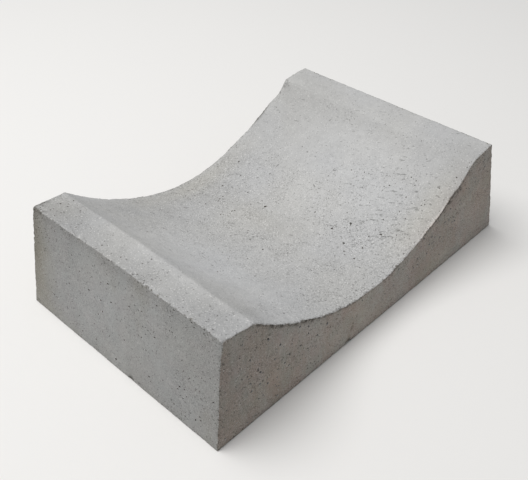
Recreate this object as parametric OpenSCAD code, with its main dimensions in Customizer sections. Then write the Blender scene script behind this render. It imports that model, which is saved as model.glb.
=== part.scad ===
// Precast concrete drainage block: a short length of dished open channel.
// The channel runs along Y, X is across it, Z is up, and the origin is at the
// middle of the base. Blocks are laid end to end on a bed of concrete.

/* [Block] */
// Width across the base
base_w = 600; // [520:10:700]
// Length of channel in one block, measured along the base
block_l = 385; // [250:1:600]
// Height of the outer edge of each lip above the base
block_h = 160; // [145:1:185]
// How far each long side leans in from base to lip, so the block leaves its mould
batter = 27; // [4:1:30]
// How far each end leans in over the same height, for the same reason
end_batter = 8; // [0:1:12]

/* [Lips] */
// Width of each lip, from its outer edge to the channel
lip_w = 49; // [35:1:65]
// How much each lip falls towards the channel
lip_fall = 4.5; // [1:0.5:8]
// Radius of the outer arris of each lip
outer_arris_r = 2.5; // [1:0.5:5]
// Radius of the arris where a lip turns down into the channel
inner_arris_r = 12; // [4:1:20]

/* [Channel] */
// Thickness of concrete left under the lowest line of the channel
invert_t = 62; // [50:1:75]
// Share of the channel's width that lies on the bottom arc
bottom_share = 0.31; // [0.2:0.01:0.4]
// Radius of the bottom arc, as a share of the radius of one arc spanning the whole channel
bottom_tightness = 0.79; // [0.75:0.01:0.95]

/* [Hidden] */
$fn = 256;
over = 5;      // how far a cutter runs past the face it opens
break_a = 0.6; // angle by which the flank leaves the bottom arc, so that the two arcs cross cleanly
poke = 0.02;   // how far an arris arc is set out past the faces it joins, for the same reason

function unit(v) = v / norm(v);
function left(p) = [-p[0], p[1]];

// Corners of the section on the +X side, as [across, up]
foot = [base_w / 2, 0];
outer = [base_w / 2 - batter, block_h];
inner = [base_w / 2 - batter - lip_w, block_h - lip_fall];

// Bottom arc: radius, centre, and the point where the flank takes over
half_w = inner[0];
depth = inner[1] - invert_t;
span_r = (half_w * half_w + depth * depth) / (2 * depth);
bottom_r = bottom_tightness * span_r;
bottom_c = [0, invert_t + bottom_r];
turn_a = asin(bottom_share * half_w / bottom_r);
turn = bottom_c + bottom_r * [sin(turn_a), -cos(turn_a)];

// Flank arc: it leaves the bottom arc almost on its tangent and ends on the lip
to_lip = inner - turn;
rise = [-sin(turn_a - break_a), cos(turn_a - break_a)];
flank_r = (to_lip * to_lip) / (2 * to_lip * rise);
flank_c = turn + flank_r * rise;

// Outer arris: an arc touching the long side and the lip
down_side = unit(foot - outer);
along_lip = unit(inner - outer);
half_a = acos(down_side * along_lip) / 2;
outer_leg = outer_arris_r / tan(half_a);
outer_c = outer + outer_arris_r / sin(half_a) * unit(down_side + along_lip);

// Inner arris: an arc touching the lip and the flank. Its centre is its own
// radius below the lip, and that radius beyond the flank arc from the flank's centre.
deep_lip = [-along_lip[1], along_lip[0]];
from_c = inner + inner_arris_r * deep_lip - flank_c;
from_b = -from_c * along_lip;
inner_run = sqrt(pow(from_b, 2) - from_c * from_c + pow(flank_r + inner_arris_r, 2)) - from_b;
inner_c = flank_c + from_c - inner_run * along_lip;
inner_a = inner_c - inner_arris_r * deep_lip;
inner_b = flank_c + flank_r * unit(inner_c - flank_c);

// The outline of the section before the channel is cut from it
module outline() {
    polygon([left(foot), foot, outer, inner, left(inner), left(outer)]);
}

// One flank of the channel, from just short of the turn to the lip
module flank_cut() {
    intersection() {
        translate(flank_c) circle(r = flank_r);
        translate([turn[0] - 4, invert_t - over])
            square([base_w / 2, block_h - invert_t + 2 * over]);
    }
}

// What the easing of an arris takes away: a kite of the corner, the arc's two
// ends and its centre, drawn a little past the faces, less the arc's own disc
module eased(corner, end_a, end_b, centre, r) {
    difference() {
        polygon([corner + 1.5 * unit(corner - centre), end_a + 0.5 * unit(end_a - centre),
                 centre, end_b + 0.5 * unit(end_b - centre)]);
        translate(centre + poke * unit(corner - centre)) circle(r = r);
    }
}

// Everything cut from one half of the outline
module half_cuts() {
    flank_cut();
    eased(outer, outer + outer_leg * down_side, outer + outer_leg * along_lip,
          outer_c, outer_arris_r);
    eased(inner, inner_a, inner_b, inner_c, inner_arris_r);
}

module section() {
    difference() {
        outline();
        translate(bottom_c) circle(r = bottom_r);
        half_cuts();
        mirror([1, 0]) half_cuts();
    }
}

// What lies beyond one leaning end: a wedge across the whole width, drawn as its
// side view and set out past the base, the lips and both sides
module beyond_end() {
    lean = end_batter / block_h;
    rotate([90, 0, 90])
        linear_extrude(height = base_w + 4 * over, center = true)
            polygon([[block_l / 2 + lean * over, -over],
                     [block_l / 2 + 6 * over, -over],
                     [block_l / 2 + 6 * over, block_h + over],
                     [block_l / 2 - lean * (block_h + over), block_h + over]]);
}

// The whole block, cast in one piece
module drainage_block() {
    color([0.72, 0.72, 0.71])
        difference() {
            rotate([90, 0, 0])
                linear_extrude(height = block_l + 4 * over, center = true)
                    section();
            beyond_end();
            mirror([0, 1, 0]) beyond_end();
        }
}

drainage_block();
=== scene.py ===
import math

import bpy
import numpy as np
from mathutils import Matrix, Vector
from mathutils.geometry import delaunay_2d_cdt


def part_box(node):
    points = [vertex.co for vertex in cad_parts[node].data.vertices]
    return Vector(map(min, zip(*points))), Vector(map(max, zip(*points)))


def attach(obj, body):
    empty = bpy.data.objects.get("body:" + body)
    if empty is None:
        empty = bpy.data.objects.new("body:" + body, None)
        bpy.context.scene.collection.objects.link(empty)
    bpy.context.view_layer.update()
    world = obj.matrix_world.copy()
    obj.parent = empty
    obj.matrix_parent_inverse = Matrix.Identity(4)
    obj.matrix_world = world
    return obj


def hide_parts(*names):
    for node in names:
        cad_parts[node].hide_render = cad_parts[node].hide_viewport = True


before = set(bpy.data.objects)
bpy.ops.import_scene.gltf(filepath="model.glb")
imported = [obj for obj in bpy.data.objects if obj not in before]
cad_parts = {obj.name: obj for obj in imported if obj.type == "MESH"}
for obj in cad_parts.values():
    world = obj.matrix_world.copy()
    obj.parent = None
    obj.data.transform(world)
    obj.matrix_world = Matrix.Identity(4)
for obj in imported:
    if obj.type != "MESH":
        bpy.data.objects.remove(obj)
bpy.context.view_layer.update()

NODE = "drainage_block"
lo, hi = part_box(NODE)

# ---------------------------------------------------------------- the section
# Lengths in this part of the script are millimetres. They follow the CAD node's own box.
W = (hi.x - lo.x) * 1000.0
L = (hi.y - lo.y) * 1000.0
H = 160.0
BATTER, END_BATTER, LIP, FALL, INVERT = 27.0, 8.0, 49.0, 4.5, 62.0
HALF = W / 2 - BATTER - LIP
DEPTH = H - FALL - INVERT
R1 = 0.79 * (HALF**2 + DEPTH**2) / (2 * DEPTH)
C1Z = INVERT + R1
A1 = math.asin(0.31 * HALF / R1)
TURN = (R1 * math.sin(A1), C1Z - R1 * math.cos(A1))
TO = (HALF - TURN[0], H - FALL - TURN[1])
RISE = (-math.sin(A1), math.cos(A1))
R2 = (TO[0] ** 2 + TO[1] ** 2) / (2 * (TO[0] * RISE[0] + TO[1] * RISE[1]))
C2 = (TURN[0] + R2 * RISE[0], TURN[1] + R2 * RISE[1])
OUT = W / 2 - BATTER
LEAN = math.atan2(BATTER, H)
END_LEAN = math.atan2(END_BATTER, H)


def end_y(z):
    """How far each leaning end is from the middle of the block at height z."""
    return L / 2 - END_BATTER * z / H


def bare_profile(x):
    """Height of the lips and channel over the base, with a sharp inner arris."""
    a = np.abs(x)
    bottom = C1Z - np.sqrt(np.maximum(R1**2 - np.minimum(a, TURN[0]) ** 2, 0))
    flank = C2[1] - np.sqrt(np.maximum(R2**2 - (np.clip(a, TURN[0], HALF) - C2[0]) ** 2, 0))
    lip = H - FALL + FALL * (a - HALF) / LIP
    return np.where(a < TURN[0], bottom, np.where(a < HALF, flank, lip))


# The inner arris is worn to a soft round: the sharp profile is averaged over a short width there.
xs = np.linspace(-OUT - 8, OUT + 8, 2385)
raw = bare_profile(xs)
step = xs[1] - xs[0]


def blurred(v, width):
    n = max(1, int(round(width / step)))
    kernel = np.hanning(2 * n + 3)[1:-1]
    kernel /= kernel.sum()
    return np.convolve(np.pad(v, n, mode="edge"), kernel, mode="valid")


near_inner = np.exp(-(((np.abs(xs) - HALF) / 13.0) ** 4))
prof = raw * (1 - near_inner) + blurred(raw, 8.0) * near_inner
crisp = raw * (1 - near_inner) + blurred(raw, 2.6) * near_inner
slope = np.gradient(prof, xs)

# ---------------------------------------------------------------- noise
_tables = {}


def lattice(seed):
    if seed not in _tables:
        _tables[seed] = np.random.default_rng(seed).random((48, 48, 48)).astype(np.float32)
    return _tables[seed]


def noise(p, size, seed):
    """Smooth value noise from 0 to 1 with features about `size` mm across."""
    t = lattice(seed)
    q = p / size + 11.37
    i = np.floor(q).astype(np.int64)
    f = (q - i).astype(np.float32)
    f = f * f * (3 - 2 * f)
    i %= 48
    j = (i + 1) % 48
    x0, y0, z0 = i.T
    x1, y1, z1 = j.T
    fx, fy, fz = f.T
    a = t[x0, y0, z0] * (1 - fx) + t[x1, y0, z0] * fx
    b = t[x0, y1, z0] * (1 - fx) + t[x1, y1, z0] * fx
    c = t[x0, y0, z1] * (1 - fx) + t[x1, y0, z1] * fx
    d = t[x0, y1, z1] * (1 - fx) + t[x1, y1, z1] * fx
    return (a * (1 - fy) + b * fy) * (1 - fz) + (c * (1 - fy) + d * fy) * fz


def fbm(p, size, seed, octaves=3):
    total, weight = 0.0, 0.0
    for k in range(octaves):
        total = total + noise(p, size / 2**k, seed + k) / 2**k
        weight += 1 / 2**k
    return total / weight


def bell(p, c, r):
    return np.exp(-(((p - np.array(c)) / np.array(r)) ** 2).sum(1))


# ---------------------------------------------------------------- the cast shape as a distance field
NEAR_X = (-273, -262, -250, -240, -230, -220, -208, -196, -184, -170, -156, -144, -134, -122, -106, -90,
          -76, -62, -48, -34, -18, 0, 14, 30, 46, 60, 74, 90, 106, 122, 136, 150, 160, 170, 182, 192, 204,
          216, 226, 236, 250, 262, 273)
NEAR_DZ = (-0.3, -1.3, -1.8, -2.8, -3.5, -2.1, -1.5, -1.6, -1.7, -1.2, -1.8, -0.4, 0.2, -0.5, -1.3,
           -1.4, -1, -1.1, -0.6, -0, 1.2, 1.3, 1.2, -0.4, 0.8, 1.8, 1.4, 1, 0.9, 1.1, -0.2, -1.7,
           -0.5, 0.9, -0, -4.2, -6, -5.5, -3.9, -1.6, -0.9, 0, 0.2)
FAR_X = (-273, -262, -250, -238, -230, -222, -214, -205, -190, -175, -160, -144, -130, -112, -96, -80, -60, -40, -22,
         -6, 10, 26, 44, 62, 78, 94, 110, 128, 142, 154, 168, 177, 184, 192, 200, 208, 216, 221, 226, 232, 240,
         250, 262, 273)
FAR_DZ = (-0.7, -0.9, -0.4, 0.3, 1, 2.3, 2.4, 2.2, 1.4, 0.9, 0.1, 0.2, -0.2, 0.5, -0.6, -1.1, -0.9,
          -0.9, -1.2, 0, 0.2, -0.6, -0.1, -0.6, 0.4, 1.3, 1.1, -0.1, 1.1, 2.2, 2.2, 2.6, 0.7, -1.7,
          -3.8, -6.4, -5, -2.1, 1.2, 3.4, 2.8, 2, 1.5, 0.8)


def top_height(p):
    """The lips and channel with the slow unevenness of a hand-finished casting."""
    x, y = p[:, 0], p[:, 1]
    v = y / L  # -0.5 near end, 0.5 far end
    # The inner arris wanders a little, and is crisper on the left lip and towards the ends.
    along = p * [0, 1, 0] + np.where(x < 0, 0.0, 500.0)[:, None] * [1, 0, 0]
    wander = 1.8 * (noise(along, 47, 24) - 0.5) + 0.7 * (noise(along, 13, 25) - 0.5)
    wander = wander - np.where(x < 0, 2.2, 0.0) * np.exp(-(((y - 25) / 95) ** 4))
    k = np.where(
        x < 0,
        0.75 + 0.25 * np.clip(2 * v, -1, 1),
        0.15 + 0.85 * np.exp(-(((0.5 - v) / 0.09) ** 2)) + 0.6 * np.exp(-(((0.5 + v) / 0.12) ** 2)),
    )
    at = x + wander * np.exp(-(((np.abs(x) - HALF) / 16) ** 2))
    z = np.interp(at, xs, prof) * (1 - k) + np.interp(at, xs, crisp) * k
    # How each end strays from the drawn section, run together along the block.
    nearer, farther = np.interp(x, NEAR_X, NEAR_DZ), np.interp(x, FAR_X, FAR_DZ)
    share = np.clip(0.5 + v, 0, 1)
    ripple = farther * share**1.6 + nearer * (1 - share) ** 1.3
    tight = np.exp(-(((x - 216) / 22) ** 2)) * np.clip(2 * v, 0, 1)
    ripple = ripple * (1 - tight) + tight * farther * np.exp(-(((y - L / 2) / 32) ** 2))
    z = z + ripple - 0.2
    slow = fbm(p * [1, 1, 0], 95, 21, 2) - 0.5
    z = z + slow * 1.5 * np.clip((OUT - 6 - np.abs(x)) / 40, 0, 1) * np.clip(
        (end_y(z) - np.abs(y)) / 30 + 0.35, 0, 1
    )
    return np.minimum(z, H - 0.3)


chips = []  # (centre, radii, tilt seed)


def left_wear(y):
    """How far in the left lip's outer arris lies from the drawn plane."""
    return 0.4 + 2.6 * np.exp(-(((y - 8) / 68) ** 4)) + 1.0 * np.exp(-(((y + 170) / 34) ** 4))


def planes(p):
    """Distance outside each of the six faces in turn: top, left, right, near, far and base."""
    x, y, z = p.T
    uneven = noise(p, 70, 31) * 0.34 + noise(p, 24, 32) * 0.16 - 0.1
    sl = np.interp(x, xs, slope)
    top = (z - top_height(p)) / np.sqrt(1 + sl * sl)
    ca, sa = math.cos(LEAN), math.sin(LEAN)
    ce, se = math.cos(END_LEAN), math.sin(END_LEAN)
    side_r = (x - W / 2) * ca + z * sa
    side_l = (-x - W / 2) * ca + z * sa
    side_l = side_l + 0.6 * np.clip(noise(p * [0, 1, 1], 130, 33) - 0.3, 0, 1)
    side_r = side_r + 0.6 * np.clip(noise(p * [0, 1, 1], 130, 34) - 0.3, 0, 1)
    end_n = (-y - L / 2) * ce + z * se + 0.5 * np.clip(noise(p * [1, 0, 1], 150, 35) - 0.3, 0, 1)
    end_f = (y - L / 2) * ce + z * se + 0.5 * np.clip(noise(p * [1, 0, 1], 150, 36) - 0.3, 0, 1)
    side_l = side_l + np.exp(-np.clip(H - z, 0, 200) / 38) * left_wear(y)
    # The far left and near right uprights stand a little proud of the drawn planes.
    high = np.clip(z / 60, 0, 1)
    side_l = side_l - (0.7 * high + 0.5 * np.clip((z - 90) / 40, 0, 1)) * np.exp(-(((y - L / 2) / 30) ** 2))
    end_f = end_f - 0.5 * high * np.exp(-(((x + OUT) / 30) ** 2))
    side_r = side_r - np.clip(z / 40, 0, 1) * (0.45 + 0.6 * np.exp(-(((y + L / 2) / 120) ** 2)))
    end_n = end_n + 1.7 * np.exp(-np.clip(x + W / 2 - BATTER * z / H, 0, 200) / 8 - ((z - 112) / 38) ** 2)
    base = -z + 0.25 * noise(p, 60, 37)
    d = np.stack([top, side_l, side_r, end_n, end_f, base])
    d[:5] += uneven
    d[5] += 0.15
    return d


def torn(p, d):
    """How much of a ragged arris has crumbled away. The channel's near arris lost most."""
    edge = np.exp(-np.clip(-np.sort(d, 0)[-2], 0, 60) / 2.6)
    ragged = 0.75 + 0.5 * np.clip((noise(p, 22, 46) - 0.45) * 4, 0, 1)
    ragged = ragged - 0.6 * np.clip(1 - p[:, 2] / 14, 0, 1)
    ragged = ragged + 1.5 * bell(p, (-185, -L / 2 + 5, 110), (62, 12, 70))
    ragged = ragged + 1.0 * bell(p, (-70, -L / 2 + 3, 75), (60, 12, 40))
    ragged = ragged + 0.2 * bell(p, (170, -L / 2 + 5, 118), (55, 12, 50))
    ragged = ragged + 1.4 * bell(p, (165, L / 2 - 5, 115), (30, 12, 30))
    return edge * ragged * (
        np.maximum(noise(p, 6.5, 44) - 0.42, 0) * 1.9 + (noise(p, 3.3, 45) - 0.35) * 0.8
    )


def field(p, cand=None):
    """Signed distance to the worn block's surface, roughly, in mm: negative inside."""
    z = p[:, 2]
    d = planes(p)
    # How worn each arris is: a slow change along it and a ragged part.
    worn = 0.55 + 1.1 * noise(p, 30, 41) ** 2 + 0.9 * noise(p, 9, 42) ** 2
    worn = worn + 1.2 * np.clip((noise(p, 16, 43) - 0.7) / 0.2, 0, 1)
    worn = worn + 3.2 * bell(p, (-OUT, -L / 2 + END_BATTER, H), (10, 10, 12))
    low = np.clip(1 - z / 14, 0, 1)
    worn = worn * (1 - 0.5 * low)
    r = worn[None] * np.ones((6, 1))
    u = np.maximum(d + r, 0)
    sum2 = (u * u).sum(0)
    f = np.where(sum2 > 0, np.sqrt(sum2) - worn, d.max(0))
    f = f + torn(p, d)
    if cand is not None:
        for (c, rad, k), idx in zip(chips, cand):
            if len(idx):
                q = p[idx]
                away = (q - c) / rad
                dist = (1 - np.sqrt((away * away).sum(1))) * rad.min()
                dist = dist + (noise(q, 4.5, 50 + k % 3) - 0.5) * 1.7 * min(1.0, rad.min() / 6)
                f[idx] = np.maximum(f[idx], dist)
    return f


def gradient(p, cand=None, e=0.35):
    g = np.empty_like(p)
    for a in range(3):
        s = np.zeros(3)
        s[a] = e
        g[:, a] = (field(p + s, cand) - field(p - s, cand)) / (2 * e)
    n = np.linalg.norm(g, axis=1)
    return g / np.maximum(n, 1e-6)[:, None], n


# ---------------------------------------------------------------- where the damage is
rng = np.random.default_rng(2031)
ny = -L / 2
fy = L / 2
top_n, top_f = -end_y(H), end_y(H)


def at_upright(z, left=True, near=True):
    """A point on the arris between a long side and an end, at height z."""
    x = W / 2 - BATTER * z / H
    return np.array([-x if left else x, -end_y(z) if near else end_y(z), z])


def add_chip(c, rad):
    chips.append((np.array(c, float), np.array(rad, float) * np.ones(3), len(chips)))


add_chip((-OUT - 5.0, top_f + 4.5, H + 4.5), (8.6, 8.2, 8.4))
add_chip((-OUT - 5.2, top_n - 4.8, H + 5.5), (9.8, 9.5, 9.5))
for z, r in ((150.5, 2.4), (143, 1.4), (131, 1.7), (120, 1.4), (113, 1.9), (96, 1.3)):  # on the far left upright
    add_chip(at_upright(z, True, False) + [-0.35 * r, -1.4, 0], r * np.array([1.0, 1.1, 1.2]))
for x, r in ((-269, 1.7), (-264, 1.5), (-259, 1.8), (-252, 1.3), (-246, 1.5)):  # and along the lip from it
    add_chip((x, top_f - 0.5, H - 1.2 + 0.3 * r), (1.1 * r, 1.1 * r, r))
for y, r in ((177, 1.7), (171, 2.0), (166, 1.3)):
    add_chip((-OUT - 0.9, y, H - 2.2), (r, 1.2 * r, 1.1 * r))
add_chip((-W / 2 - 1.2, -28.5, -1.2), (4.2, 4.6, 4.4))
add_chip((-57, ny - 1.0, -1.0), (6.6, 4.6, 5.2))
for x, z, r in ((184, 129, 2.4), (179, 124, 3.6), (174, 120, 3.0), (169, 116, 2.6), (164, 112.5, 3.0), (158, 108.5, 2.0)):
    add_chip((x, end_y(z) + 0.45 * r, z), (1.5 * r, 0.9 * r, 1.2 * r))
for x, r in ((188.5, 1.6), (193, 2.1), (197, 1.4), (176, 1.3), (164, 1.4)):
    z = float(np.interp(x, xs, prof))
    add_chip((x, -end_y(z) - 0.2 * r, z + 0.25 * r), (1.3 * r, r, r))
add_chip((W / 2 + 2, 120, -3), (7, 9, 6))
add_chip((OUT + 3.2, 52, H + 3.2), (5, 9, 5))
add_chip((OUT + 3.4, -96, H + 3.0), (5, 6, 5))
add_chip((W / 2 + 3, fy + 3, -3), (9, 9, 9))
add_chip((-150, end_y(95) + 2.5, 95), (5, 4.5, 4.5))
for z, r in ((70, 2.8), (64, 2.2), (9, 2.4), (118, 1.8)):  # on the near left upright
    add_chip(at_upright(z) + [-0.5 * r, -0.5 * r, 0], r * np.array([1.0, 1.0, 1.3]))
for x, z, r in ((-46, 31, 1.5), (-48.5, 25, 1.6), (-51, 19, 1.5), (-53.5, 13, 1.4), (-55, 8, 1.3), (-44.5, 36, 1.2)):
    add_chip((x, -end_y(z) - 0.55 * r, z), (0.8 * r, r, 2.4 * r))  # a gouge low on the near end
for _ in range(20):  # the broken far left corner
    away = rng.exponential(4.5, 3) * [1, 1, 1.2]
    away[rng.integers(3)] = -rng.uniform(0, 0.8)
    r = rng.uniform(1.1, 2.3)
    add_chip((-OUT + away[0] - 0.3 * r, top_f - away[1] + 0.3 * r, H - away[2] + 0.4 * r), r * rng.uniform(0.8, 1.3, 3))

# Small nibbles along the upper arrises, the uprights and the bottom edge. The channel's near
# arris lost most, at the foot of the left flank and high on the right one.
for k in range(330):
    if k < 120:
        x = rng.uniform(-234, -70)
    elif k < 140:
        x = rng.uniform(110, 215)
    else:
        x = rng.uniform(-OUT, OUT)
    r = rng.uniform(1.0, 2.2) if rng.random() < 0.9 else rng.uniform(2.2, 3.4)
    z = float(np.interp(x, xs, prof))
    y = float(-end_y(z) if k < 210 else end_y(z))
    out = rng.uniform(0.15, 0.7) * r
    sl = float(np.interp(x, xs, slope))
    h = math.hypot(1, sl)
    add_chip((x - sl / h * out, y + math.copysign(out, y), z + out / h), r * rng.uniform(0.75, 1.35, 3))
for _ in range(170):  # outer arrises of the lips
    y = rng.uniform(top_n, top_f)
    sx = rng.choice([-1, 1])
    r = rng.uniform(0.9, 1.8) if rng.random() < 0.93 else rng.uniform(1.8, 3.0)
    out = rng.uniform(0.1, 0.65) * r
    inset = float(left_wear(y)) if sx < 0 else 0.0
    add_chip((sx * (OUT + out - inset), y, H + out), r * rng.uniform(0.75, 1.35, 3))
for _ in range(60):  # uprights
    r = rng.uniform(1.0, 2.2)
    out = rng.uniform(0.15, 0.65) * r
    c = at_upright(rng.uniform(4, H - 4), rng.random() < 0.5, rng.random() < 0.5)
    c = c + [math.copysign(out, c[0]), math.copysign(out, c[1]), 0]
    add_chip(c, r * rng.uniform(0.75, 1.4, 3))
for _ in range(80):  # bottom edge
    r = rng.uniform(1.2, 2.4)
    out = rng.uniform(0.2, 0.65) * r
    if rng.random() < 0.6:
        y = rng.choice([ny, fy])
        c = (rng.uniform(-W / 2, W / 2), y + math.copysign(out, y), -out)
    else:
        sx = rng.choice([-1, 1])
        c = (sx * (W / 2 + out), rng.uniform(ny, fy), -out)
    add_chip(c, r * rng.uniform(0.75, 1.4, 3))

# ---------------------------------------------------------------- the mesh, one chart a face
# The developed length of the top, so that holes and points are spaced on the surface itself.
top_x = xs[(xs >= -OUT - 1e-6) & (xs <= OUT + 1e-6)]
top_x = np.concatenate([[-OUT], top_x[(top_x > -OUT) & (top_x < OUT)], [OUT]])
top_z = np.interp(top_x, xs, prof)
top_s = np.concatenate([[0], np.cumsum(np.hypot(np.diff(top_x), np.diff(top_z)))])
S = top_s[-1]
SIDE, END = math.hypot(BATTER, H), math.hypot(END_BATTER, H)


def x_of(s):
    return np.interp(s, top_s, top_x)


def s_of(x):
    return np.interp(x, top_x, top_s)


charts = {
    # name: chart to space
    "top": lambda u, v: np.stack([x_of(u), v, np.interp(x_of(u), xs, prof)], 1),
    "left": lambda u, v: np.stack(
        [-(W / 2 - math.sin(LEAN) * v), u, math.cos(LEAN) * v], 1
    ),
    "right": lambda u, v: np.stack(
        [W / 2 - math.sin(LEAN) * v, u, math.cos(LEAN) * v], 1
    ),
    "near": lambda u, v: np.stack([u, ny + math.sin(END_LEAN) * v, math.cos(END_LEAN) * v], 1),
    "far": lambda u, v: np.stack([u, fy - math.sin(END_LEAN) * v, math.cos(END_LEAN) * v], 1),
    "base": lambda u, v: np.stack([u, v, np.zeros_like(u)], 1),
}

points = []  # arrays of positions
count = 0


def new_points(p):
    global count
    ids = np.arange(count, count + len(p))
    points.append(np.asarray(p, float))
    count += len(p)
    return ids


def spaced(length, gap):
    """Places from 0 to length, about gap apart, slightly uneven, without the ends."""
    n = max(2, int(round(length / gap)))
    t = np.linspace(0, length, n + 1)[1:-1]
    return t + rng.uniform(-0.16, 0.16, len(t)) * length / n


corner = {}
for sx in (-1, 1):
    for sy in (-1, 1):
        corner[sx, sy, 0] = new_points([[sx * W / 2, sy * L / 2, 0]])[0]
        corner[sx, sy, 1] = new_points([[sx * OUT, sy * top_f, H]])[0]
FINE, LOW = 1.3, 2.0
edges = {}  # name: (ids with both corners, the parameter along the edge)
for sx, n in ((-1, "left"), (1, "right")):
    t = spaced(2 * top_f, FINE)
    ids = new_points(np.stack([np.full_like(t, sx * OUT), t + top_n, np.full_like(t, H)], 1))
    edges[n, "top"] = (
        np.r_[corner[sx, -1, 1], ids, corner[sx, 1, 1]],
        np.r_[0, t, 2 * top_f] + top_n,
    )
    t = spaced(L, LOW)
    ids = new_points(np.stack([np.full_like(t, sx * W / 2), t + ny, 0 * t], 1))
    edges[n, "base"] = (
        np.r_[corner[sx, -1, 0], ids, corner[sx, 1, 0]],
        np.r_[0, t, L] + ny,
    )
    for sy, m in ((-1, "near"), (1, "far")):
        t = spaced(H, 1.6)
        ids = new_points(np.stack([sx * (W / 2 - BATTER * t / H), sy * end_y(t), t], 1))
        edges[n, m] = (
            np.r_[corner[sx, sy, 0], ids, corner[sx, sy, 1]],
            np.r_[0, t, H],
        )
for sy, m in ((-1, "near"), (1, "far")):
    t = spaced(S, FINE)
    x = x_of(t)
    z = np.interp(x, xs, prof)
    ids = new_points(np.stack([x, sy * end_y(z), z], 1))
    edges[m, "top"] = (
        np.r_[corner[-1, sy, 1], ids, corner[1, sy, 1]],
        np.r_[0, t, S],
    )
    t = spaced(W, LOW)
    ids = new_points(np.stack([t - W / 2, np.full_like(t, sy * L / 2), 0 * t], 1))
    edges[m, "base"] = (
        np.r_[corner[-1, sy, 0], ids, corner[1, sy, 0]],
        np.r_[0, t, W] - W / 2,
    )


def edge_y(s):
    """Where the top meets each end, at a place s across its developed length."""
    z = np.interp(x_of(s), xs, prof)
    return end_y(np.where((s <= 0) | (s >= S), H, z))


def outline(name):
    """(ids, 2-D chart coordinates) round the chart, counter-clockwise."""
    if name == "top":
        a, ta = edges["near", "top"]
        b, tb = edges["right", "top"]
        c, tc = edges["far", "top"]
        d, td = edges["left", "top"]
        ids = np.r_[a[:-1], b[:-1], c[::-1][:-1], d[::-1][:-1]]
        uv = np.r_[
            np.c_[ta, -edge_y(ta)][:-1],
            np.c_[np.full(len(tb), S), tb][:-1],
            np.c_[tc, edge_y(tc)][::-1][:-1],
            np.c_[np.zeros(len(td)), td][::-1][:-1],
        ]
    elif name == "base":
        a, ta = edges["near", "base"]
        b, tb = edges["right", "base"]
        c, tc = edges["far", "base"]
        d, td = edges["left", "base"]
        ids = np.r_[a[:-1], b[:-1], c[::-1][:-1], d[::-1][:-1]]
        uv = np.r_[
            np.c_[ta, np.full(len(ta), ny)][:-1],
            np.c_[np.full(len(tb), W / 2), tb][:-1],
            np.c_[tc, np.full(len(tc), fy)][::-1][:-1],
            np.c_[np.full(len(td), -W / 2), td][::-1][:-1],
        ]
    elif name in ("left", "right"):
        a, ta = edges[name, "base"]
        b, tb = edges[name, "far"]
        c, tc = edges[name, "top"]
        d, td = edges[name, "near"]
        ids = np.r_[a[:-1], b[:-1], c[::-1][:-1], d[::-1][:-1]]
        uv = np.r_[
            np.c_[ta, 0 * ta][:-1],
            np.c_[end_y(tb), tb * SIDE / H][:-1],
            np.c_[tc, np.full(len(tc), SIDE)][::-1][:-1],
            np.c_[-end_y(td), td * SIDE / H][::-1][:-1],
        ]
    else:
        a, ta = edges[name, "base"]
        b, tb = edges["right", name]
        c, tc = edges[name, "top"]
        d, td = edges["left", name]
        ids = np.r_[a[:-1], b[:-1], c[::-1][:-1], d[::-1][:-1]]
        rx, lx = W / 2 - BATTER * tb / H, BATTER * td / H - W / 2
        tz = np.interp(x_of(tc), xs, prof)
        tz[0] = tz[-1] = H
        uv = np.r_[
            np.c_[ta, 0 * ta][:-1],
            np.c_[rx, tb * END / H][:-1],
            np.c_[x_of(tc), tz * END / H][::-1][:-1],
            np.c_[lx, td * END / H][::-1][:-1],
        ]
    return ids, uv


def inside_distance(name, uv):
    """Distance in the chart from its outline, positive inside."""
    u, v = uv.T
    if name == "top":
        return np.minimum.reduce([u, S - u, (edge_y(np.clip(u, 0.01, S - 0.01)) - np.abs(v)) * 0.998])
    if name == "base":
        return np.minimum.reduce([u + W / 2, W / 2 - u, v - ny, fy - v])
    if name in ("left", "right"):
        return np.minimum.reduce([v, SIDE - v, (end_y(v * H / SIDE) - np.abs(u)) * 0.998])
    ca, sa = math.cos(LEAN), math.sin(LEAN)
    sl = np.interp(u, xs, slope)
    return np.minimum.reduce(
        [
            v,
            (W / 2 - u) * ca - v * sa,
            (W / 2 + u) * ca - v * sa,
            (np.interp(u, xs, prof) - v * math.cos(END_LEAN)) / np.sqrt(1 + sl * sl),
        ]
    )


def extent(name):
    return {
        "top": (0, S, ny, fy),
        "base": (-W / 2, W / 2, ny, fy),
        "left": (ny, fy, 0, SIDE),
        "right": (ny, fy, 0, SIDE),
        "near": (-W / 2, W / 2, 0, END),
        "far": (-W / 2, W / 2, 0, END),
    }[name]


def sheet_points(name):
    """Points over the chart, close together near the arrises and wider apart inside."""
    coarse = name == "base"
    bands = (
        ((1.4, 6, 2.4), (6, 16, 6.0), (16, 999, 15.0))
        if coarse
        else ((0.75, 3.0, 1.35), (3.0, 6.0, 2.1), (6.0, 12, 3.6), (12, 999, 7.0))
    )
    u0, u1, v0, v1 = extent(name)
    out = []
    for inner, outer, gap in bands:
        rows = int((v1 - v0) / (gap * 0.866)) + 2
        cols = int((u1 - u0) / gap) + 2
        j, i = np.mgrid[0:rows, 0:cols]
        p = np.stack(
            [u0 + (i + 0.5 * (j % 2)) * gap, v0 + j * gap * 0.866], -1
        ).reshape(-1, 2)
        p = p + rng.uniform(-0.2, 0.2, p.shape) * gap
        d = inside_distance(name, p)
        if name == "top":  # the inner arrises
            left_arris, right_arris = s_of(-HALF), s_of(HALF)
            d = np.minimum(d, np.abs(p[:, 0] - left_arris) * 0.8 + 1.5)
            d = np.minimum(d, np.abs(p[:, 0] - right_arris) * 0.6 + 3.2)
        out.append(p[(d >= inner) & (d < outer)])
    return np.concatenate(out)


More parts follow.
